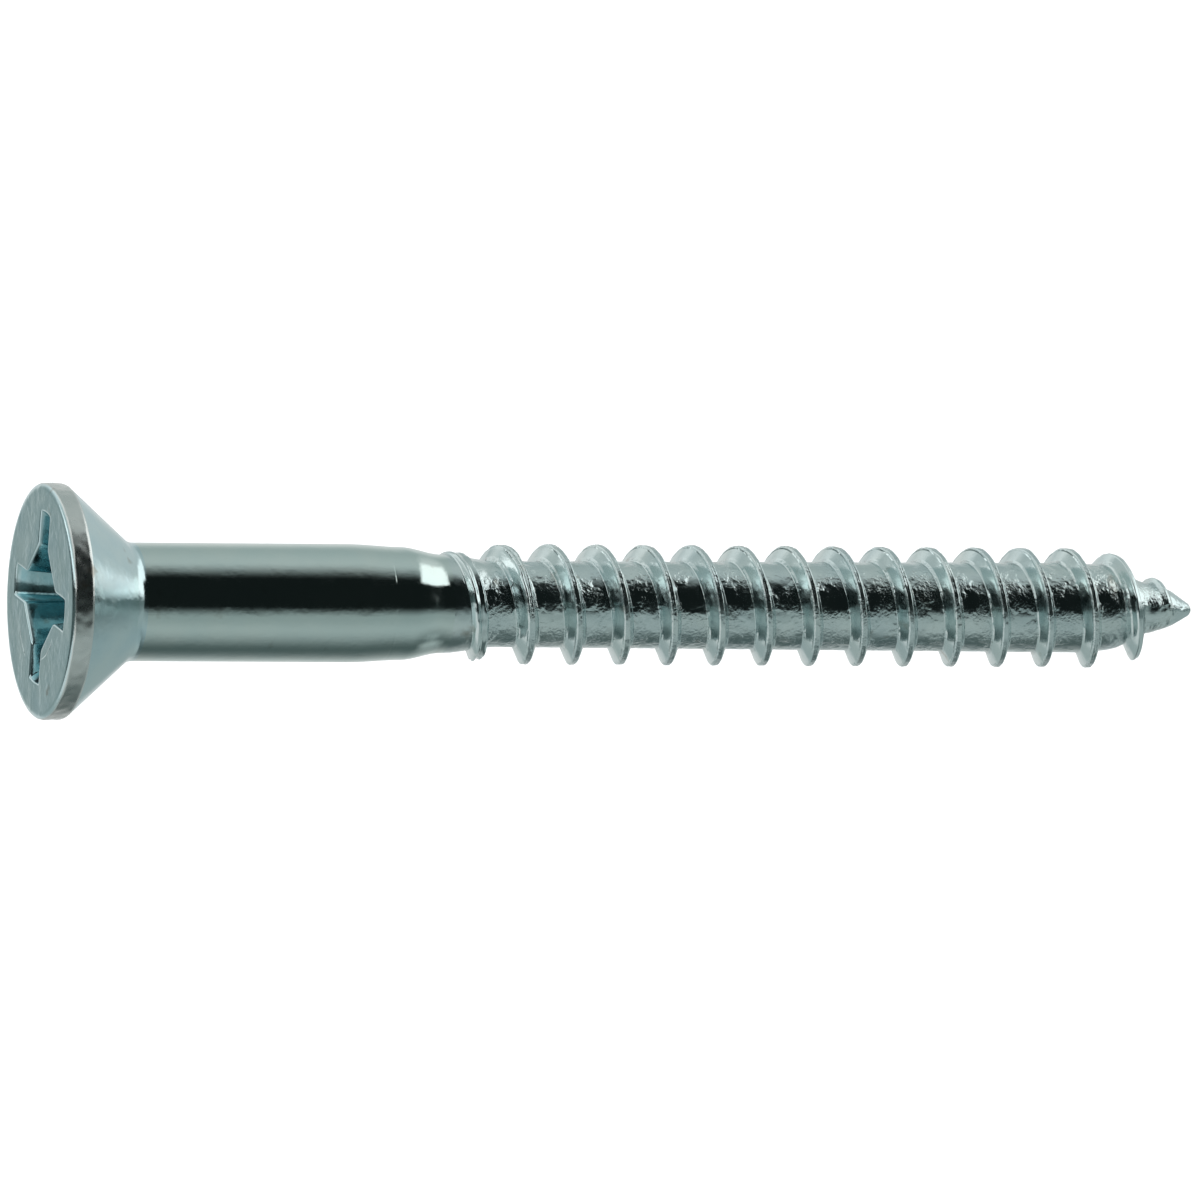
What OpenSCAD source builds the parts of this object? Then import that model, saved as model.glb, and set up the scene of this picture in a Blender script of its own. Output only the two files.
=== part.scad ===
/* [Head] */
// Diameter across the rim of the head
head_d = 11.94; // [11:0.02:13]
// Diameter of the flat face on top of the head
face_d = 10.93; // [10:0.01:10.95]
// Depth of the rim, from the face to the start of the countersink
rim_depth = 1.04; // [0.7:0.02:1.2]
// Included angle of the countersink, degrees
countersink_angle = 82; // [80:1:90]
// Radius of the fillet under the head
head_fillet = 0.9; // [0.4:0.1:1.5]

/* [Drive recess] */
// Span of the cross recess across two opposite wings
recess_span = 8.67; // [8:0.01:9]
// Width of a wing at the face
wing_w = 1.55; // [1.3:0.05:1.8]
// Depth of the wings
recess_depth = 4.8; // [4:0.1:5]
// Diameter of the round bottom of the wings
heel_d = 3.8; // [3.4:0.1:3.9]
// Distance across the flats that cut the corners between the wings
corner_flats = 4.66; // [4.4:0.02:4.9]
// Turn of the recess about the screw's axis, degrees
recess_turn = -12.5; // [-45:0.5:45]

/* [Shank] */
// Diameter of the plain shank
shank_d = 5.96; // [5.8:0.02:6.1]
// Distance from the face to the end of the plain shank
shank_end = 16.18; // [12:0.02:17]

/* [Neck] */
// Diameter at the foot of the long, gentle taper
shoulder_d = 5.7; // [5.5:0.02:5.78]
// Length of the long, gentle taper
shoulder_len = 2.64; // [1:0.02:4]
// Diameter of the waist, which is the wire's size before the thread is rolled
waist_d = 4.98; // [4.9:0.02:5.2]
// Length of the short taper from the shoulder to the waist
waist_taper = 2.1; // [1:0.1:3]
// Length of the waist, up to the first thread
waist_len = 0.2; // [0.1:0.1:1]

/* [Thread] */
// Outside diameter of the thread
thread_d = 6.22; // [6.1:0.02:6.4]
// Diameter of the core at the first full thread
core_d = 4.36; // [4.2:0.02:4.6]
// Diameter of the core where the point begins
core_end_d = 4.58; // [4.4:0.02:4.8]
// Pitch of the right-hand thread, ten to the inch
pitch = 2.54; // [2.4:0.01:2.7]
// Width of the ridge where it stands on the core
ridge_w = 1.04; // [0.9:0.02:1.2]
// Width of the flat on the crest
crest_w = 0.17; // [0.1:0.01:0.3]
// Length over which the crest rises to its full diameter
run_in = 4.4; // [2:0.1:6]
// Straight sides to each turn of the thread
thread_sides = 36; // [24:4:48]

/* [Point] */
// Distance from the face to the start of the point
point_at = 55.4; // [50:0.1:58]
// Distance from the face to the blunt tip
screw_len = 61.5; // [60:0.05:64]
// Diameter of the blunt tip
tip_d = 0.76; // [0.4:0.02:1]
// Distance from the tip at which the ridge starts to run out
run_out_from = 3.1; // [2.5:0.1:4]
// Distance from the tip at which the ridge has gone
run_out_to = 1.7; // [1:0.1:2.4]

/* [Hidden] */
$fn = 96;

head_r = head_d / 2;
face_r = face_d / 2;
shank_r = shank_d / 2;
shoulder_r = shoulder_d / 2;
waist_r = waist_d / 2;
thread_r = thread_d / 2;
core_r = core_d / 2;
core_end_r = core_end_d / 2;
tip_r = tip_d / 2;
over = 0.5;       // how far a cutting shape runs past what it cuts
arc_steps = 8;    // straight steps in each rounded edge

// Countersink: the cone meets the shank at cone_end, and the fillet is tangent to both.
cone_half = countersink_angle / 2;
cone_end = rim_depth + (head_r - shank_r) / tan(cone_half);
fillet_reach = head_fillet * tan(cone_half / 2);
head_end = cone_end + fillet_reach;
edge_r = head_r - face_r;

// Cross recess: the outer edges of the wings lie on a cone, and the flanks have a little draft.
recess_r = recess_span / 2;
heel_r = heel_d / 2;
wing_slope = (recess_r - heel_r) / recess_depth;
wing_draft = 3.5;
corner_draft = 8;
bottom_rise = 28; // slope of the shallow cone under the wings, degrees

// Neck
shoulder_end = shank_end + shoulder_len;
waist_at = shoulder_end + waist_taper;
thread_at = waist_at + waist_len;

// Thread: the ridge's crest passes the +X side of the screw at first_crest.
first_crest = thread_at + 0.65;
core_taper = 2.8; // length over which the waist narrows to the core
core_at = thread_at + core_taper;
ridge_h = thread_r - core_end_r;
close_up = 1.8;   // last stretch before the tip, where the turns of the mesh close up
close_up_at = screw_len - close_up;
mesh_turns = ceil((close_up_at - first_crest) / pitch) + 2;

// One pitch of the thread's outline: [distance along the axis, part of the ridge's height]
flank_w = (ridge_w - crest_w) / 2;
root_w = pitch - ridge_w;
outline = [
    [0, 0],
    [flank_w, 1],
    [flank_w + crest_w, 1],
    [ridge_w, 0],
    [ridge_w + root_w / 3, 0],
    [ridge_w + 2 * root_w / 3, 0]
];
rows = len(outline);

function mix(a, b, t) = a + (b - a) * max(0, min(1, t));

// Points of an arc about (x, y), from angle a to angle b
function arc(x, y, r, a, b) = [
    for (i = [0:arc_steps])
        let (angle = a + (b - a) * i / arc_steps)
        [x + r * cos(angle), y + r * sin(angle)]
];

// Radius of the core at distance d from the face: narrowing waist, long core, bullet-shaped point
function body_r(d) =
    d < core_at ? mix(waist_r, core_r, (d - thread_at) / core_taper) :
    d < point_at ? mix(core_r, core_end_r, (d - core_at) / (point_at - core_at)) :
    mix(core_end_r, tip_r, pow((d - point_at) / (screw_len - point_at), 2));

// Height of the ridge where its crest is at distance d: it grows over the run-in, and fades near the tip
function rise(d) =
    d < thread_at + run_in ? mix(thread_r, waist_r, pow(1 - (d - thread_at) / run_in, 2)) - body_r(d) :
    d < point_at ? thread_r - body_r(d) :
    mix(ridge_h, 0, (d - screw_len + run_out_from) / (run_out_from - run_out_to));

// Distance from the face of a mesh point, with the turns closing up towards the tip
function closed_up(d) =
    d < close_up_at ? d : close_up_at + close_up * (1 - exp((close_up_at - d) / close_up));

// Point at radius r and distance d from the face. A right-hand thread goes clockwise on its way to the
// point, seen from the head, so the turns count that way.
function on_screw(r, turn, d) = [r * cos(360 * turn), -r * sin(360 * turn), -d];

// Mesh point in column k and row j of the helix
function helix_point(k, j) =
    let (turn = k / thread_sides)
    let (ridge_at = first_crest - ridge_w / 2 + turn * pitch)
    let (d = closed_up(ridge_at + outline[j][0]))
    let (r = body_r(d) + outline[j][1] * rise(closed_up(ridge_at + ridge_w / 2)))
    on_screw(r, turn, d);

function ring(d, r) = [for (k = [0:thread_sides - 1]) on_screw(r, k / thread_sides, d)];

// Rounded rim and straight countersink with a fillet under it, as half of the head's outline
module head_outline() {
    polygon(concat(
        [[0, 0]],
        arc(face_r, -edge_r, edge_r, 90, 0),
        [[head_r, -rim_depth]],
        arc(shank_r + head_fillet, -head_end, head_fillet, 180 - cone_half, 180),
        [[0, -head_end]]
    ));
}

// Space between two flat sides, w apart at the face, that lean towards each other with depth
module tapered_slot(w, lean) {
    size = 4 * recess_r;
    intersection() {
        behind_wall(1, w, lean, size);
        behind_wall(-1, w, lean, size);
    }
}

// Everything on the screw's side of one leaning wall, on the +Y side for 1 or the -Y side for -1
module behind_wall(side, w, lean, size) {
    translate([0, side * w / 2, 0])
        rotate([-side * lean, 0, 0])
            translate([0, -side * size / 2, 0])
                cube(size, center = true);
}

// The tool's space: two crossed slots and a square between them, inside the cone of the wings' edges
module recess() {
    rotate(recess_turn)
        intersection() {
            rotate_extrude()
                polygon([
                    [0, over],
                    [recess_r + over * wing_slope, over],
                    [heel_r, -recess_depth],
                    [0, -recess_depth - heel_r * tan(bottom_rise)]
                ]);
            union() {
                tapered_slot(wing_w, wing_draft);
                rotate(90) tapered_slot(wing_w, wing_draft);
                intersection() {
                    rotate(45) tapered_slot(corner_flats, corner_draft);
                    rotate(-45) tapered_slot(corner_flats, corner_draft);
                }
            }
        }
}

// Everything below the waist as one solid. Row j of the mesh follows the thread, and after the
// last row of a column comes row 0 of the column one turn further on.
module threaded_body() {
    n = thread_sides;
    full = (mesh_turns - 1) * n; // last column with all its rows
    count = (full + 1) * rows + n;
    function at(k, j) =
        j == rows ? at(k + n, 0) :
        k <= full ? k * rows + j :
        full * rows + rows + k - full - 1;
    function top(k) = count + k % n;
    function tip(k) = count + n + k % n;
    function quad(a, b, c, d) = [[a, b, c], [a, c, d]];

    points = concat(
        [for (k = [0:full], j = [0:rows - 1]) helix_point(k, j)],
        [for (k = [full + 1:full + n]) helix_point(k, 0)],
        ring(thread_at, waist_r),
        ring(screw_len, tip_r)
    );
    faces = [
        for (k = [0:full - 1], j = [0:rows - 1])
            each quad(at(k + 1, j), at(k, j), at(k, j + 1), at(k + 1, j + 1)),
        // The first turn up to the waist's ring, and the step where it begins
        for (k = [0:n - 2]) each quad(top(k + 1), top(k), at(k, 0), at(k + 1, 0)),
        [at(n - 1, 0), top(0), top(n - 1)],
        [at(n - 1, 0), at(0, 0), top(0)],
        for (j = [0:rows - 1]) [at(n - 1, 0), at(0, j + 1), at(0, j)],
        // The last turn down to the tip's ring, and the step where it ends
        for (k = [full + 1:full + n - 1]) each quad(at(k + 1, 0), at(k, 0), tip(k), tip(k + 1)),
        [at(full + 1, 0), tip(full), tip(full + 1)],
        [at(full + 1, 0), at(full, rows), tip(full)],
        for (j = [0:rows - 1]) [at(full + 1, 0), at(full, j), at(full, j + 1)],
        [for (k = [0:n - 1]) top(k)],
        [for (k = [n - 1:-1:0]) tip(k)]
    ];
    polyhedron(points = points, faces = faces);
}

// Everything from distance a to distance b below the face
module span(a, b) {
    translate([0, 0, -b]) cylinder(h = b - a, r = head_r);
}

module head() {
    color("LightSteelBlue")
        difference() {
            rotate_extrude() head_outline();
            recess();
        }
}

// The plain shank, with the bottom of the recess in its top end
module shank() {
    color("LightSlateGray")
        difference() {
            translate([0, 0, -shank_end]) cylinder(h = shank_end - head_end, r = shank_r);
            recess();
        }
}

module neck() {
    color("SlateGray")
        rotate_extrude()
            polygon([
                [0, -shank_end],
                [shank_r, -shank_end],
                [shoulder_r, -shoulder_end],
                [waist_r, -waist_at],
                [waist_r, -thread_at],
                [0, -thread_at]
            ]);
}

module thread() {
    color("LightBlue")
        intersection() {
            threaded_body();
            span(thread_at - over, point_at);
        }
}

module point() {
    color("CadetBlue")
        intersection() {
            threaded_body();
            span(point_at, screw_len + over);
        }
}

head();
shank();
neck();
thread();
point();
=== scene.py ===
import math

import bmesh
import bpy
from mathutils import Matrix, Vector, noise


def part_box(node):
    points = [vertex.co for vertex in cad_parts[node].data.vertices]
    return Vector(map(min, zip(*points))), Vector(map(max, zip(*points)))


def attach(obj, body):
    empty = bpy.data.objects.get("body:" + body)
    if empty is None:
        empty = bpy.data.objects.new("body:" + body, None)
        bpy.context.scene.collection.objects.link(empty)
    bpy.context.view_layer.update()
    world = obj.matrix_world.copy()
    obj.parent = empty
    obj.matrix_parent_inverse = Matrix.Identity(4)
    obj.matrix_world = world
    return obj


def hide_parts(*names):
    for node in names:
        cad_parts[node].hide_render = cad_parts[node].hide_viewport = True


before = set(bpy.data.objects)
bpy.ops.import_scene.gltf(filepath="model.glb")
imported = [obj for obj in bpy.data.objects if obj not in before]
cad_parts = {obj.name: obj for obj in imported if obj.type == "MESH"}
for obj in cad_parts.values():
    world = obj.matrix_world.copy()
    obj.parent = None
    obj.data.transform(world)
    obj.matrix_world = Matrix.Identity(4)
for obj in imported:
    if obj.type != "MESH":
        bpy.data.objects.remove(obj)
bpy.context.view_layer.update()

MM = 0.001
FULL_TURN = 2 * math.pi

# ---------------------------------------------------------------- sizes, in millimetres

rim_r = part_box("head")[1].x / MM
head_end = -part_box("head")[0].z / MM
shank_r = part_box("shank")[1].x / MM
shank_end = -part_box("shank")[0].z / MM
neck_end = -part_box("neck")[0].z / MM
point_at = -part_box("thread")[0].z / MM
tip_at = -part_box("point")[0].z / MM

# head
face_r = 5.58
rim_land = 1.04
countersink = math.radians(41)
fillet_r = 0.9
edge_depth = 0.26
rim_round = 0.07
rim_dent = 0.06

# cross recess
wing_reach = 4.335
wing_half = 0.775
corner_flat = 2.33
wing_slope = math.radians(26.5)
flank_draft = math.radians(3.5)
corner_draft = math.radians(8)
recess_depth = 4.8
floor_slope = math.radians(28)
wall_depths = (0.3, 0.7, 1.4, 2.2, 3.0, 3.8, 4.4, recess_depth)
recess_turn = math.radians(-12.5)
recess_shift = 0.2
lip_r = 0.12
lip_dish = 0.07

# neck and core
shoulder_drop = 0.13
waist_r = 2.49
long_taper_to = shank_end + 2.9
short_taper_from, short_taper_to = shank_end + 2.75, shank_end + 4.95
die_line_at = shank_end + 1.8
die_line_depth, die_line_width = 0.005, 0.045
core_r = 2.17
core_end_r = 2.29
core_from, core_to = neck_end + 0.1, neck_end + 2.9

# thread
pitch = 2.54
first_crest = neck_end + 0.65
crest_full = 3.04
crest_half = 0.09
head_side, tip_side = 0.61, 0.58    # half the ridge's foot, on each side of its crest
head_foot, tip_foot = 0.02, 0.03    # part of each side that rounds into the core
brow = 0.18                         # part of each side that rounds over to the crest
narrowest = 0.7                     # foot of the lowest ridge, as a part of its full width
lip_spread = 0.2
closed_seam, open_seam = (0.01, 0.028), (0.24, 0.13)    # depth and width between the two lips
run_in = 4.4

# point: radius of the core, and of the thread's crest, by distance above the tip
point_core = [(6.1, 2.29), (4.15, 2.05), (2.95, 1.42), (2.1, 1.22), (1.15, 0.90), (0.4, 0.46),
              (0, 0.22)]
point_crest = [(6.1, 3.04), (5.4, 3.03), (4.2, 2.74), (3.0, 2.58), (2.45, 2.0), (1.85, 1.46),
               (1.1, 0.82), (0, 0)]
end_round = 0.2
close_up = 2.6
held_back = 0.18                    # the last turns sit this much nearer the head
tip_offset = 0.07


def mix(a, b, t):
    return a + (b - a) * min(1.0, max(0.0, t))


def smooth(a, b, x):
    """0 before a, 1 after b, and level at both."""
    t = min(1.0, max(0.0, (x - a) / (b - a)))
    return t * t * (3 - 2 * t)


def on_curve(points, x):
    """Height at x of a smooth curve through the points, which run from high x to low x."""
    i = max(j for j in range(len(points) - 1) if j == 0 or points[j][0] >= x)
    (x0, y0), (x1, y1) = points[i], points[i + 1]
    before, after = points[max(0, i - 1)], points[min(len(points) - 1, i + 2)]
    t = min(1.0, max(0.0, (x - x0) / (x1 - x0)))
    slope0 = (y1 - before[1]) / (x1 - before[0]) * (x1 - x0)
    slope1 = (after[1] - y0) / (after[0] - x0) * (x1 - x0)
    return ((1 + 2 * t) * (1 - t) ** 2 * y0 + t * (1 - t) ** 2 * slope0
            + t * t * (3 - 2 * t) * y1 - t * t * (1 - t) * slope1)


def ripple(p, size, seed=0.0):
    """Smooth unevenness from -1 to 1, with lumps about size millimetres across."""
    return noise.noise(Vector(p) / size + Vector((seed, 2.3 * seed, 0.7 * seed)))


# ---------------------------------------------------------------- turned pieces

def arc(centre_r, centre_d, radius, start, end, steps):
    """Points of a round in a turned outline, from angle start to angle end, in degrees."""
    angles = [math.radians(mix(start, end, i / steps)) for i in range(steps + 1)]
    return [(centre_r + radius * math.cos(a), centre_d - radius * math.sin(a)) for a in angles]


def spaced(outline, step, edge=0.05):
    """The outline with a point close to both ends of each long side, and others about a step apart."""
    out = [outline[0]]
    for (r0, d0), (r1, d1) in zip(outline, outline[1:]):
        length = math.hypot(r1 - r0, d1 - d0)
        if length > 4 * edge:
            count = max(1, round((length - 2 * edge) / step))
            places = [edge / length + (1 - 2 * edge / length) * i / count for i in range(count + 1)]
            out += [(mix(r0, r1, t), mix(d0, d1, t)) for t in places]
        out.append((r1, d1))
    return out


def turned(outline, steps):
    """A surface turned about the screw's axis, from (radius, distance below the face) pairs."""
    bm = bmesh.new()
    points = [bm.verts.new((r * MM, 0, -d * MM)) for r, d in outline]
    lines = [bm.edges.new(pair) for pair in zip(points, points[1:])]
    bmesh.ops.spin(bm, geom=points + lines, cent=(0, 0, 0), axis=(0, 0, 1), dvec=(0, 0, 0),
                   angle=FULL_TURN, steps=steps, use_merge=True, use_duplicate=False)
    return bm


def open_edges(bm, depth=None):
    edges = [e for e in bm.edges if e.is_boundary]
    if depth is None:
        return edges
    return [e for e in edges if all(abs(v.co.z / MM + depth) < 1e-3 for v in e.verts)]


def piece(name, bm, stands_for, material, sharp=40):
    """Turns a mesh's faces outwards, and makes it an object with a finish, on the screw's one body."""
    bmesh.ops.recalc_face_normals(bm, faces=bm.faces)
    mesh = bpy.data.meshes.new(name)
    bm.to_mesh(mesh)
    bm.free()
    for polygon in mesh.polygons:
        polygon.use_smooth = True
    mesh.set_sharp_from_angle(angle=math.radians(sharp))
    mesh.materials.append(material)
    made = bpy.data.objects.new(name, mesh)
    bpy.context.scene.collection.objects.link(made)
    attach(made, "root")
    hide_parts(*stands_for)
    return made


# ---------------------------------------------------------------- head

def cross(reach, half, flat, corner=0.16):
    """The recess's outline at one depth: wings out to reach, and straight cuts between them."""
    tip = math.asin(half / reach)
    cut = flat * math.sqrt(2) - half
    quarter = [(reach * math.cos(a), reach * math.sin(a)) for a in (-tip, 0, tip)]
    quarter += [(cut, half), (half, cut)]
    corners = [Matrix.Rotation(q * FULL_TURN / 4, 2) @ Vector(p) for q in range(4) for p in quarter]
    out = []
    for i, p in enumerate(corners):
        before, after = corners[i - 1], corners[(i + 1) % len(corners)]
        start = p + (before - p).normalized() * min(corner, (before - p).length * 0.45)
        end = p + (after - p).normalized() * min(corner, (after - p).length * 0.45)
        out += [start, (start + 2 * p + end) / 4, end]
    return [Matrix.Rotation(recess_turn, 2) @ p for p in out]


def at_recess(p, depth):
    return (p.x * MM + recess_shift * MM, p.y * MM, -depth * MM)


def recess_levels():
    """(depth, outline) from the flat face down to the middle of the recess's floor."""
    lip = lip_r + lip_dish
    levels = [(0, cross(wing_reach + lip, wing_half + lip, corner_flat + lip))]
    for i in range(5):
        a = math.radians(90 * i / 4)
        out, depth = lip_r * (1 - math.sin(a)), lip_r * (1 - math.cos(a))
        levels.append((depth, cross(wing_reach + out, wing_half + out, corner_flat + out)))
    for depth in wall_depths:
        levels.append((depth, cross(wing_reach - depth * math.tan(wing_slope),
                                    wing_half - depth * math.tan(flank_draft),
                                    corner_flat - depth * math.tan(corner_draft))))
    floor = levels[-1][1]
    for part in (0.8, 0.5, 0.2):
        depth = recess_depth + (1 - part) * floor[0].length * math.tan(floor_slope)
        levels.append((depth, [p * part for p in floor]))
    return levels


def sink_recess(bm):
    """Adds the recess as one face pushed down from level to level. Returns the edges of its rim."""
    place = bm.verts.layers.int.new("place")
    levels = recess_levels()
    ring = []
    for i, p in enumerate(levels[0][1]):
        v = bm.verts.new(at_recess(p, levels[0][0]))
        v[place] = i
        ring.append(v)
    face = bm.faces.new(ring)
    rim = list(face.edges)
    for depth, outline in levels[1:]:
        pushed = bmesh.ops.extrude_discrete_faces(bm, faces=[face])["faces"]
        face = max(pushed, key=lambda f: len(f.verts))
        for v in face.verts:
            v.co = at_recess(outline[v[place]], depth)
    return rim


def make_head(material):
    edge_r = rim_r - face_r
    side = [(r, d * edge_depth / edge_r) for r, d in arc(face_r, edge_r, edge_r, 90, 0, 7)]
    neck_round = arc(shank_r + fillet_r, head_end, fillet_r, 180 - math.degrees(countersink), 180, 9)
    outline = [(face_r - 0.06, 0)] + side + [(rim_r, rim_land - rim_round)]
    outline += [(rim_r - rim_round, rim_land + rim_round * 0.8)] + neck_round
    bm = turned(spaced(outline, 0.12), 240)
    for v in bm.verts:
        r, d = v.co.xy.length / MM, -v.co.z / MM
        rough = smooth(5.5, 5.8, r) * smooth(0.05, 0.3, d) * (1 - smooth(0.95, 1.1, d))
        if rough > 0 and r < rim_r + 0.01:
            dent = ripple(v.co / MM, 0.9) * 0.5 + ripple(v.co / MM, 0.4, 3) * 0.5
            v.co.xy *= 1 + rough * (dent - 0.6) * rim_dent / r
    rim = sink_recess(bm)
    rim_and_edge = list(set(rim + open_edges(bm, 0)))
    bmesh.ops.triangle_fill(bm, edges=rim_and_edge, use_beauty=True, use_dissolve=False,
                            normal=(0, 0, 1))
    bmesh.ops.holes_fill(bm, edges=open_edges(bm, head_end), sides=0)
    return piece("head", bm, ["head"], material)


# ---------------------------------------------------------------- shank and neck

def make_shank(material):
    outline = spaced([(shank_r, head_end), (shank_r, shank_end)], 0.5)
    bm = turned(outline, 160)
    for depth in (head_end, shank_end):
        bmesh.ops.holes_fill(bm, edges=open_edges(bm, depth), sides=0)
    return piece("shank", bm, ["shank"], material)


def neck_radius(d):
    """Two tapers, with the fine line that the header's die leaves round the first of them."""
    long_taper = shoulder_drop * smooth(shank_end, long_taper_to, d)
    short_taper = (shank_r - shoulder_drop - waist_r) * smooth(short_taper_from, short_taper_to, d)
    die_line = die_line_depth * math.exp(-((d - die_line_at) / die_line_width) ** 2)
    return shank_r - long_taper - short_taper - die_line


def make_neck(material):
    steps = 160
    places = [mix(shank_end, neck_end, i / steps) for i in range(steps + 1)]
    bm = turned([(neck_radius(d), d) for d in places], 160)
    for depth in (shank_end, neck_end):
        bmesh.ops.holes_fill(bm, edges=open_edges(bm, depth), sides=0)
    return piece("neck", bm, ["neck"], material)


# ---------------------------------------------------------------- thread and point

def core_radius(d):
    """The core: it narrows from the waist, swells a little towards the point, then rounds off."""
    if d < core_to:
        return waist_r + (core_r - waist_r) * smooth(core_from, core_to, d)
    if d < point_at:
        return mix(core_r, core_end_r, (d - core_to) / (point_at - core_to))
    radius = on_curve(point_core, tip_at - d)
    left = max(0.0, tip_at - d)
    if left < end_round:
        radius *= math.sqrt(max(0.0, 1 - (1 - left / end_round) ** 2))
    return radius


def crest_radius(d):
    if d > point_at:
        return on_curve(point_crest, tip_at - d)
    start = (1 - min(1, max(0, (d - neck_end) / run_in))) ** 2
    return crest_full - (crest_full - waist_r) * start


def ridge_height(d):
    return 0.0 if d < neck_end else max(0.0, crest_radius(d) - core_radius(d))


def ridge_form(x, height, opened):
    """Height of the ridge, as a part of its full height, at x millimetres from the middle of its
    crest. A lower ridge is narrower, because its sides keep their slope. The metal is squeezed up
    from both sides, so the crest has a seam, and opened makes it two lips."""
    flat = crest_half + lip_spread * opened
    side, foot = (head_side, head_foot) if x < 0 else (tip_side, tip_foot)
    base_half = side * max(narrowest, min(1.0, height / (crest_full - core_r)))
    up = min(1.0, max(0.0, (base_half - abs(x)) / (base_half - flat)))
    slope = 1 / (1 - (foot + brow) / 2)
    if up < foot:
        form = slope * up * up / (2 * foot)
    elif up > 1 - brow:
        form = 1 - slope * (1 - up) ** 2 / (2 * brow)
    else:
        form = slope * (up - foot / 2)
    seam_depth, seam_width = (mix(*pair, opened) for pair in zip(closed_seam, open_seam))
    return form - seam_depth * math.exp(-(x / seam_width) ** 2)


def closed_up(d):
    """Distance below the face, with the last turns held back and then drawn together at the tip."""
    d -= held_back * smooth(tip_at - 12, tip_at - 5, d)
    start = tip_at - close_up
    return d if d < start else start + close_up * (1 - math.exp((start - d) / close_up))


def thread_rows():
    """Places across one pitch, from the middle of one root to the middle of the next."""
    def half(base):
        crest, foot, root = 0.18, 0.86 * base, pitch / 2
        places = [crest * i / 5 for i in range(1, 6)]
        places += [mix(crest, foot, i / 5) for i in range(1, 6)]
        places += [mix(foot, base, i / 3) for i in range(1, 4)]
        return places + [mix(base, root, i / 6) for i in range(1, 7)]

    return [-x for x in reversed(half(head_side))] + [0.0] + half(tip_side)


def make_thread(material):
    """One pitch of plain outline is spun round and along the screw, its edges are merged from turn to
    turn, and then each point is set to its own radius."""
    per_turn = 120
    spare_turns = 3
    turns = 1 + math.ceil((tip_at - first_crest) / pitch) + spare_turns
    start_d = first_crest - pitch
    blank_r = 10 * MM
    bm = bmesh.new()
    points = [bm.verts.new((blank_r, 0, -(start_d + x) * MM)) for x in thread_rows()]
    lines = [bm.edges.new(pair) for pair in zip(points, points[1:])]
    bmesh.ops.spin(bm, geom=points + lines, cent=(0, 0, 0), axis=(0, 0, -1),
                   dvec=(0, 0, -pitch * MM / per_turn), angle=FULL_TURN,
                   steps=per_turn, use_merge=False, use_duplicate=False)
    one_turn = bm.verts[:] + bm.edges[:] + bm.faces[:]
    for turn in range(1, turns):
        copy = bmesh.ops.duplicate(bm, geom=one_turn)["geom"]
        moved = [v for v in copy if isinstance(v, bmesh.types.BMVert)]
        bmesh.ops.translate(bm, verts=moved, vec=(0, 0, -turn * pitch * MM))
    bmesh.ops.remove_doubles(bm, verts=bm.verts, dist=0.002 * MM)
    for v in bm.verts:
        part_turn = (-math.atan2(v.co.y, v.co.x) / FULL_TURN) % 1.0
        raw = -v.co.z / MM
        crest_number = math.floor((raw - first_crest) / pitch - part_turn + 0.5 + 1e-4)
        turn = crest_number + part_turn
        x = raw - first_crest - turn * pitch
        crest_d = closed_up(first_crest + turn * pitch)
        d = closed_up(raw)
        angle = -part_turn * FULL_TURN
        opened = 1 - smooth(0.15, 1.7, turn)
        height = ridge_height(crest_d)
        form = ridge_form(x, height, opened)
        spot = Vector((math.cos(angle), math.sin(angle), 0)) * 2.6 + Vector((0, 0, -d))
        # rolled skin: fine pits on the core, a ragged crest, and a torn start
        pits = 0.012 * ripple(spot, 0.42) + 0.010 * ripple(spot, 0.2, 5)
        chips = 0.022 * ripple(spot, 0.6, 9) + 0.026 * ripple(spot, 0.25, 13)
        ragged = smooth(0.75, 1.0, form) * chips
        torn = opened * 0.16 * min(0.0, ripple(spot, 0.6, 17) - 0.1)
        body = core_radius(d)
        fade = smooth(tip_at, tip_at - 1.2, d)
        r = body + form * height + fade * ((1 - form) * pits + (ragged + form ** 2 * torn)
                                           * min(1, height / 0.4))
        low = tip_offset * smooth(tip_at - 1.6, tip_at, d)
        v.co = (r * math.cos(angle) * MM - low * MM, r * math.sin(angle) * MM, -d * MM)
    everything = bm.verts[:] + bm.edges[:] + bm.faces[:]
    bmesh.ops.bisect_plane(bm, geom=everything, dist=0.0005 * MM, plane_co=(0, 0, -neck_end * MM),
                           plane_no=(0, 0, 1), clear_outer=True, clear_inner=False)
    bmesh.ops.holes_fill(bm, edges=open_edges(bm), sides=0)
    return piece("thread_and_point", bm, ["thread", "point"], material, sharp=60)


# ---------------------------------------------------------------- finishes

rust_shade = (0.30, 0.24, 0.16)
worn_rim_shade = (0.80, 0.80, 0.77)
worn_rim_rougher, worn_crest_rougher = 0.13, 0.10
mark_half, mark_fade, mark_depth = 0.05, 0.3, 0.015


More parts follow.
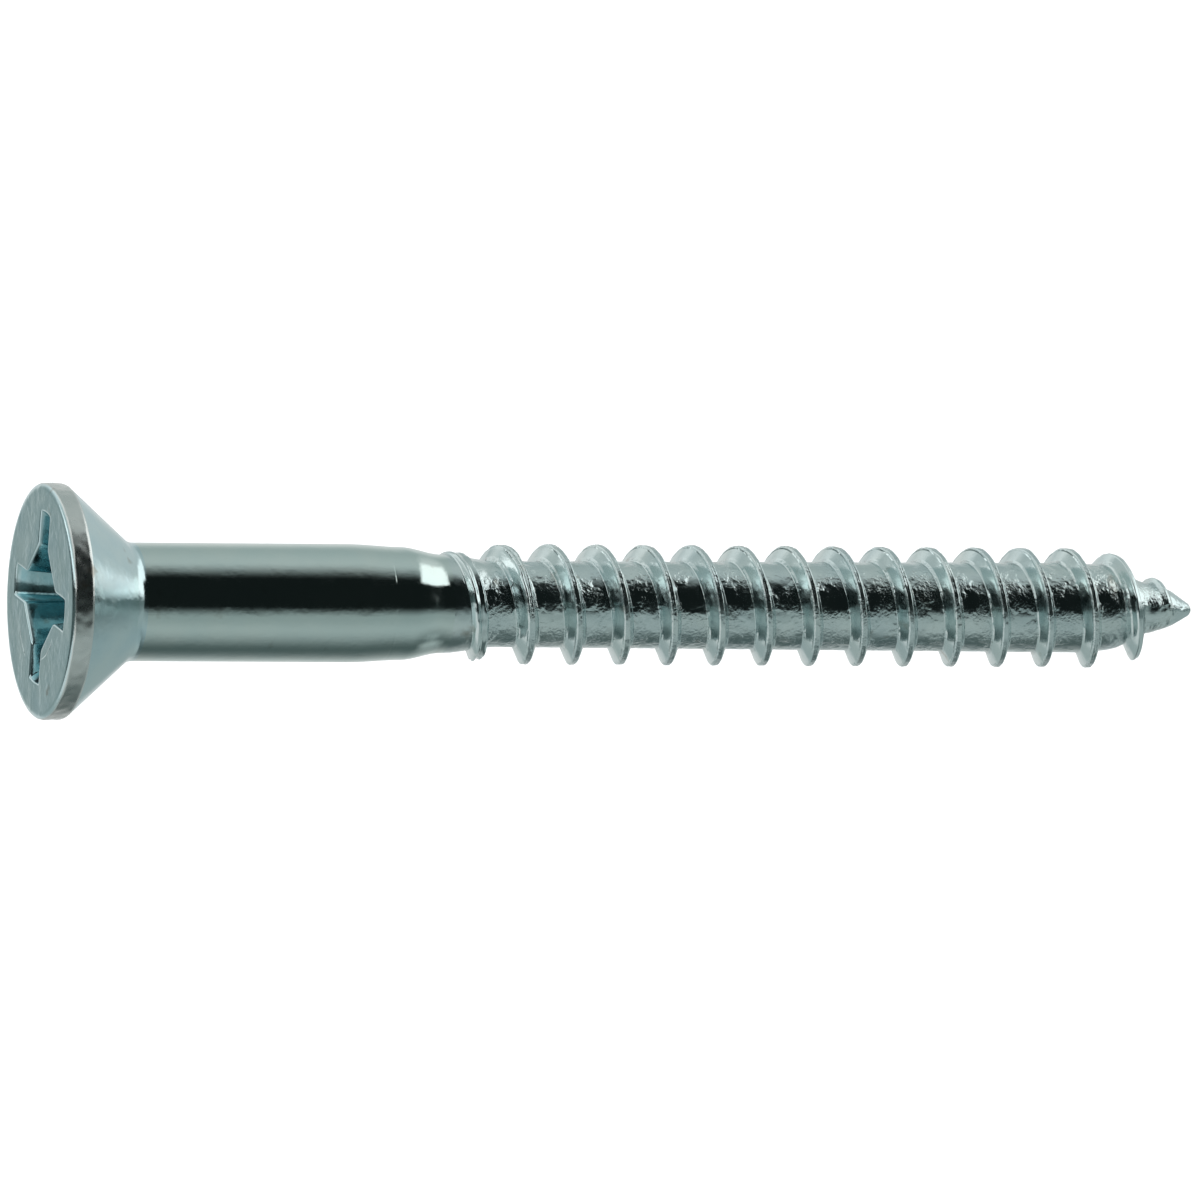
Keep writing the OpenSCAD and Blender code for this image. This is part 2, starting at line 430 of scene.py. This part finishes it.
def zinc(name, tone, deep, roughness, bumps, stains, painted_recess_shade=None, dull_rim=None, polished=None,
         marks=()):
    """Bright zinc plate over steel. tone and deep are its two shades, roughness its lowest and
    highest, stains how strong the brown stains are, and bumps a list of (lump size in mm, height in
    mm, stretch along the axis). painted_recess_shade is (radius at the face in mm, slope of the
    sides, colour) of a recess whose base colour is darkened towards that colour: painted shade.
    dull_rim is the radius in mm outside which the plate is rough.
    polished is two radii: the plate is smooth between them, and rough from the second outwards. marks
    are short arcs scratched in the face: radius, lowest and highest X in mm, and side of Y."""
    material = bpy.data.materials.new(name)
    material.use_nodes = True
    tree = material.node_tree
    nodes, links = tree.nodes, tree.links
    shader = nodes["Principled BSDF"]
    shader.inputs["Metallic"].default_value = 1.0
    place = nodes.new("ShaderNodeTexCoord")

    def cloud(size, detail, stretch=1.0, turn=0.0):
        mapping = nodes.new("ShaderNodeMapping")
        across, along = 1 / (size * MM), 1 / (size * MM * stretch)
        mapping.inputs["Scale"].default_value = (across, across, along)
        mapping.inputs["Location"].default_value = (turn, turn * 1.7, turn * 0.6)
        links.new(place.outputs["Object"], mapping.inputs["Vector"])
        texture = nodes.new("ShaderNodeTexNoise")
        texture.inputs["Scale"].default_value = 1.0
        texture.inputs["Detail"].default_value = detail
        links.new(mapping.outputs["Vector"], texture.inputs["Vector"])
        return texture.outputs["Fac"]

    def spread(value, low, high, to_low, to_high):
        node = nodes.new("ShaderNodeMapRange")
        node.inputs["From Min"].default_value, node.inputs["From Max"].default_value = low, high
        node.inputs["To Min"].default_value, node.inputs["To Max"].default_value = to_low, to_high
        links.new(value, node.inputs["Value"])
        return node.outputs["Result"]

    def maths(operation, a, b):
        node = nodes.new("ShaderNodeMath")
        node.operation = operation
        links.new(a, node.inputs[0])
        links.new(b, node.inputs[1])
        return node.outputs[0]

    def times(a, b):
        return maths("MULTIPLY", a, b)

    def from_radius(start, end, to_low, to_high):
        return spread(from_axis, start * MM, end * MM, to_low, to_high)

    def bumped(height, distance, before):
        node = nodes.new("ShaderNodeBump")
        node.inputs["Strength"].default_value = 1.0
        node.inputs["Distance"].default_value = distance * MM
        links.new(height, node.inputs["Height"])
        if before:
            links.new(before, node.inputs["Normal"])
        return node.outputs["Normal"]

    def blend(amount, a, b):
        node = nodes.new("ShaderNodeMix")
        node.data_type = "RGBA"
        links.new(amount, node.inputs["Factor"])
        for colour, socket in ((a, node.inputs["A"]), (b, node.inputs["B"])):
            if isinstance(colour, tuple):
                socket.default_value = (*colour, 1.0)
            else:
                links.new(colour, socket)
        return node.outputs["Result"]

    parts = nodes.new("ShaderNodeSeparateXYZ")
    links.new(place.outputs["Object"], parts.inputs["Vector"])
    flat = nodes.new("ShaderNodeVectorMath")
    flat.operation = "MULTIPLY"
    flat.inputs[1].default_value = (1, 1, 0)
    links.new(place.outputs["Object"], flat.inputs[0])
    radius = nodes.new("ShaderNodeVectorMath")
    radius.operation = "LENGTH"
    links.new(flat.outputs["Vector"], radius.inputs[0])
    from_axis = radius.outputs["Value"]

    colour = blend(spread(cloud(2.2, 4), 0.35, 0.65, 0, 1), tone, deep)
    # Painted shade: inside the cross recess, from just below the face downwards, the base colour is
    # darkened towards a dark teal, mottled by noise.
    if painted_recess_shade:
        reach, slope, shade = painted_recess_shade
        cone = nodes.new("ShaderNodeMath")
        cone.operation = "MULTIPLY_ADD"
        cone.inputs[1].default_value = -slope
        links.new(parts.outputs["Z"], cone.inputs[0])
        links.new(from_axis, cone.inputs[2])
        inside = spread(cone.outputs[0], reach * MM, (reach - 0.1) * MM, 0, 1)
        below = spread(parts.outputs["Z"], -0.08 * MM, -0.3 * MM, 0, 1)
        mottled = spread(cloud(0.7, 4, turn=5.0), 0.35, 0.6, 0.75, 1.0)
        colour = blend(times(times(inside, below), mottled), colour, shade)
    if dull_rim:
        colour = blend(from_radius(dull_rim, dull_rim + 0.05, 0, 0.8), colour, worn_rim_shade)
    rust = spread(cloud(1.3, 3, turn=7.0), 0.66, 0.76, 0, stains)
    colour = blend(rust, colour, rust_shade)
    links.new(colour, shader.inputs["Base Color"])
    rough = spread(cloud(0.6, 5, turn=3.0), 0.3, 0.7, *roughness)
    if dull_rim:
        rough = maths("ADD", rough, from_radius(dull_rim, dull_rim + 0.05, 0, worn_rim_rougher))
    if polished:
        inner, outer = polished
        rough = maths("ADD", rough, from_radius(outer - 0.08, outer, 0, worn_crest_rougher))
    links.new(rough, shader.inputs["Roughness"])
    scuffed = spread(cloud(1.3, 3, turn=21.0), 0.42, 0.58, 0.15, 1.0)
    if polished:
        root = from_radius(inner, inner + 0.12, 1, 0.12)
        crest = from_radius(outer - 0.08, outer, 0, 1)
        scuffed = times(scuffed, maths("MAXIMUM", root, crest))
    normal = None
    for i, (size, height, stretch) in enumerate(bumps):
        lumps = cloud(size, 3, stretch, turn=11.0 * i)
        normal = bumped(times(lumps, scuffed), height, normal)
    for mark_r, low_x, high_x, side in marks:
        band = times(from_radius(mark_r - mark_half, mark_r, 0, 1),
                     from_radius(mark_r, mark_r + mark_half, 1, 0))
        x = parts.outputs["X"]
        reach = times(spread(x, low_x * MM, (low_x + mark_fade) * MM, 0, 1),
                      spread(x, (high_x - mark_fade) * MM, high_x * MM, 1, 0))
        near = spread(parts.outputs["Y"], 0, side * 0.2 * MM, 0, 1)
        normal = bumped(times(times(band, reach), near), mark_depth, normal)
    links.new(normal, shader.inputs["Normal"])
    return material


# The head's base colour is darkened inside the cross recess: painted shade.
head_zinc = zinc("head_zinc", (0.67, 0.81, 0.82), (0.60, 0.77, 0.81), (0.10, 0.20),
                 [(1.2, 0.010, 1.0), (0.25, 0.004, 1.0)], 0.5,
                 painted_recess_shade=(wing_reach + 0.4, math.tan(wing_slope), (0.32, 0.54, 0.58)), dull_rim=5.86,
                 marks=[(3.65, -2.8, -1.3, 1), (2.95, -3.1, -1.9, -1)])
shank_zinc = zinc("shank_zinc", (0.72, 0.82, 0.79), (0.68, 0.80, 0.78), (0.07, 0.14),
                  [(0.9, 0.006, 3.0), (0.15, 0.003, 4.0)], 0.25)
thread_zinc = zinc("thread_zinc", (0.74, 0.83, 0.82), (0.66, 0.77, 0.78), (0.08, 0.20),
                   [(0.40, 0.040, 1.0), (0.15, 0.045, 1.0)], 0.4, polished=(2.3, 2.95))

make_head(head_zinc)
make_shank(shank_zinc)
make_neck(shank_zinc)
make_thread(thread_zinc)

# ---------------------------------------------------------------- camera

camera_tilt = math.radians(18.6)
camera_roll = math.radians(0.36)
camera_away = 0.9
aim = Vector((0.24 * MM, 0, -29.62 * MM))

to_camera = Vector((0, -math.cos(camera_tilt), math.sin(camera_tilt)))
picture_up = Vector((1, 0, 0))
picture_right = picture_up.cross(to_camera)
turned_camera = Matrix((picture_right, picture_up, to_camera)).transposed()
camera = bpy.data.cameras.new("camera")
camera.sensor_width = 36
camera.lens = 533.5
camera.clip_start, camera.clip_end = 0.01, 20
camera_object = bpy.data.objects.new("camera", camera)
bpy.context.scene.collection.objects.link(camera_object)
camera_object.matrix_world = (Matrix.Translation(aim + to_camera * camera_away)
                              @ turned_camera.to_4x4() @ Matrix.Rotation(camera_roll, 4, "Z"))
bpy.context.scene.camera = camera_object

# ---------------------------------------------------------------- floor and light

floor_gap = 14 * MM
floor_size = 6.0
floor_bm = bmesh.new()
bmesh.ops.create_grid(floor_bm, x_segments=1, y_segments=1, size=floor_size / 2,
                      matrix=Matrix.Translation((0, 0, -tip_at * MM - floor_gap)))
floor_mesh = bpy.data.meshes.new("floor")
floor_bm.to_mesh(floor_mesh)
floor_bm.free()
floor = bpy.data.objects.new("floor", floor_mesh)
bpy.context.scene.collection.objects.link(floor)
paper = bpy.data.materials.new("paper")
paper.use_nodes = True
paper_shader = paper.node_tree.nodes["Principled BSDF"]
paper_shader.inputs["Base Color"].default_value = (0.93, 0.93, 0.94, 1)
paper_shader.inputs["Roughness"].default_value = 0.9
paper_shader.inputs["Specular IOR Level"].default_value = 0.0
floor_mesh.materials.append(paper)
floor.visible_glossy = False

lamp = bpy.data.lights.new("overhead", "SUN")
lamp.energy = 2.6
lamp.angle = math.radians(60)
lamp_object = bpy.data.objects.new("overhead", lamp)
bpy.context.scene.collection.objects.link(lamp_object)
lamp_object.visible_glossy = False


def studio():
    """Soft boxes and dark flags round the screw, as brightness by direction. Angles go round the
    screw's axis, from the side that faces the camera towards +X."""
    world = bpy.data.worlds.new("studio")
    world.use_nodes = True
    tree = world.node_tree
    nodes, links = tree.nodes, tree.links
    direction = nodes.new("ShaderNodeTexCoord").outputs["Generated"]
    parts = nodes.new("ShaderNodeSeparateXYZ")
    links.new(direction, parts.inputs["Vector"])

    def maths(operation, a, b):
        node = nodes.new("ShaderNodeMath")
        node.operation = operation
        for value, socket in ((a, node.inputs[0]), (b, node.inputs[1])):
            if isinstance(value, (int, float)):
                socket.default_value = value
            else:
                links.new(value, socket)
        return node.outputs[0]

    def light(bright):
        """Dim parts of the room are cooler than the bright soft boxes."""
        warm = min(1.0, bright / 0.7)
        return (bright * (0.70 + 0.27 * warm), bright, bright * (0.98 + 0.01 * warm), 1)

    def ramp(value, low, high, stops):
        node = nodes.new("ShaderNodeMapRange")
        node.inputs["From Min"].default_value, node.inputs["From Max"].default_value = low, high
        links.new(value, node.inputs["Value"])
        colours = nodes.new("ShaderNodeValToRGB")
        band = colours.color_ramp
        band.interpolation = "EASE"
        for i, (place, bright) in enumerate(stops):
            position = (place - low) / (high - low)
            stop = band.elements[i] if i < 2 else band.elements.new(position)
            stop.position = position
            stop.color = light(bright)
        links.new(node.outputs["Result"], colours.inputs["Fac"])
        return colours.outputs["Color"]

    def part(value, start, full):
        """0 where value is at start, 1 where it is at full."""
        node = nodes.new("ShaderNodeMapRange")
        node.interpolation_type = "SMOOTHSTEP"
        low, high = min(start, full), max(start, full)
        node.inputs["From Min"].default_value, node.inputs["From Max"].default_value = low, high
        if start > full:
            node.inputs["To Min"].default_value, node.inputs["To Max"].default_value = 1, 0
        links.new(value, node.inputs["Value"])
        return node.outputs["Result"]

    def blend(amount, a, b):
        node = nodes.new("ShaderNodeMix")
        node.data_type = "RGBA"
        links.new(amount, node.inputs["Factor"])
        links.new(a, node.inputs["A"])
        links.new(b, node.inputs["B"])
        return node.outputs["Result"]

    x, y, z = (parts.outputs[axis] for axis in "XYZ")
    round_axis = maths("MULTIPLY", maths("ARCTAN2", x, maths("MULTIPLY", y, -1.0)), 180 / math.pi)
    # each box or flag is (place, brightness), and the light eases from one to the next
    behind_and_low = [(-180, 0.70), (180, 0.70), (-105, 0.12), (-55, 0.44), (-30, 0.36)]
    flag = [(-8, 0.01), (48, 0.01)]
    high_box = [(85, 0.52), (125, 0.45), (160, 0.70)]
    near_flag = [(-8, 0.01), (44, 0.01)]
    near_box = [(50, 1.25), (95, 1.25), (110, 0.50)]
    ring = ramp(round_axis, -180, 180, behind_and_low + flag + high_box)
    in_front_below = ramp(round_axis, -180, 180, behind_and_low + near_flag + near_box)
    low_and_gap = [(-0.30, 0.40), (-0.02, 0.18), (0.04, 0.17)]
    behind_below = ramp(x, -1, 1, [(-1, 0.5), (1, 0.9)] + low_and_gap + [
        (0.11, 0.80), (0.17, 0.80), (0.27, 0.60), (0.6, 0.60)])
    fillet_light = ramp(x, -1, 1, [(-1, 0.4), (1, 1.2)] + low_and_gap + [(0.11, 0.65), (0.22, 1.3)])
    behind_above = ramp(x, -1, 1, [
        (-1, 0.42), (1, 0.85), (-0.3, 0.42), (-0.12, 0.33), (0.12, 0.33), (0.5, 0.85)])
    overhead = ramp(x, -1, 1, [
        (-1, 0.6), (1, 0.8), (-0.28, 0.72), (-0.23, 0.09), (-0.03, 0.09), (0.03, 0.03), (0.10, 0.03),
        (0.22, 1.3), (0.31, 1.3), (0.38, 0.5)])
    sky = blend(part(z, -0.47, -0.56), ring, in_front_below)
    under_fillet = maths("MULTIPLY", part(z, -0.55, -0.65), part(y, -0.25, 0.0))
    sky = blend(maths("MAXIMUM", under_fillet, part(z, -0.72, -0.82)), sky, fillet_light)
    sky = blend(maths("MULTIPLY", part(z, -0.42, -0.6), part(y, 0.05, 0.3)), sky, behind_below)
    sky = blend(maths("MULTIPLY", part(z, 0.2, 0.28), part(y, -0.8, -0.55)), sky, behind_above)
    sky = blend(part(z, 0.5, 0.68), sky, overhead)
    # the room as it is seen directly is plain and pale; only the plate sees the soft boxes and flags
    plain = nodes.new("ShaderNodeRGB")
    plain.outputs[0].default_value = (1, 1, 1, 1)
    seen = nodes.new("ShaderNodeLightPath").outputs["Is Camera Ray"]
    background = nodes["Background"]
    links.new(blend(seen, sky, plain.outputs[0]), background.inputs["Color"])
    background.inputs["Strength"].default_value = 1.0
    bpy.context.scene.world = world


studio()
bpy.context.scene.view_settings.view_transform = "Standard"
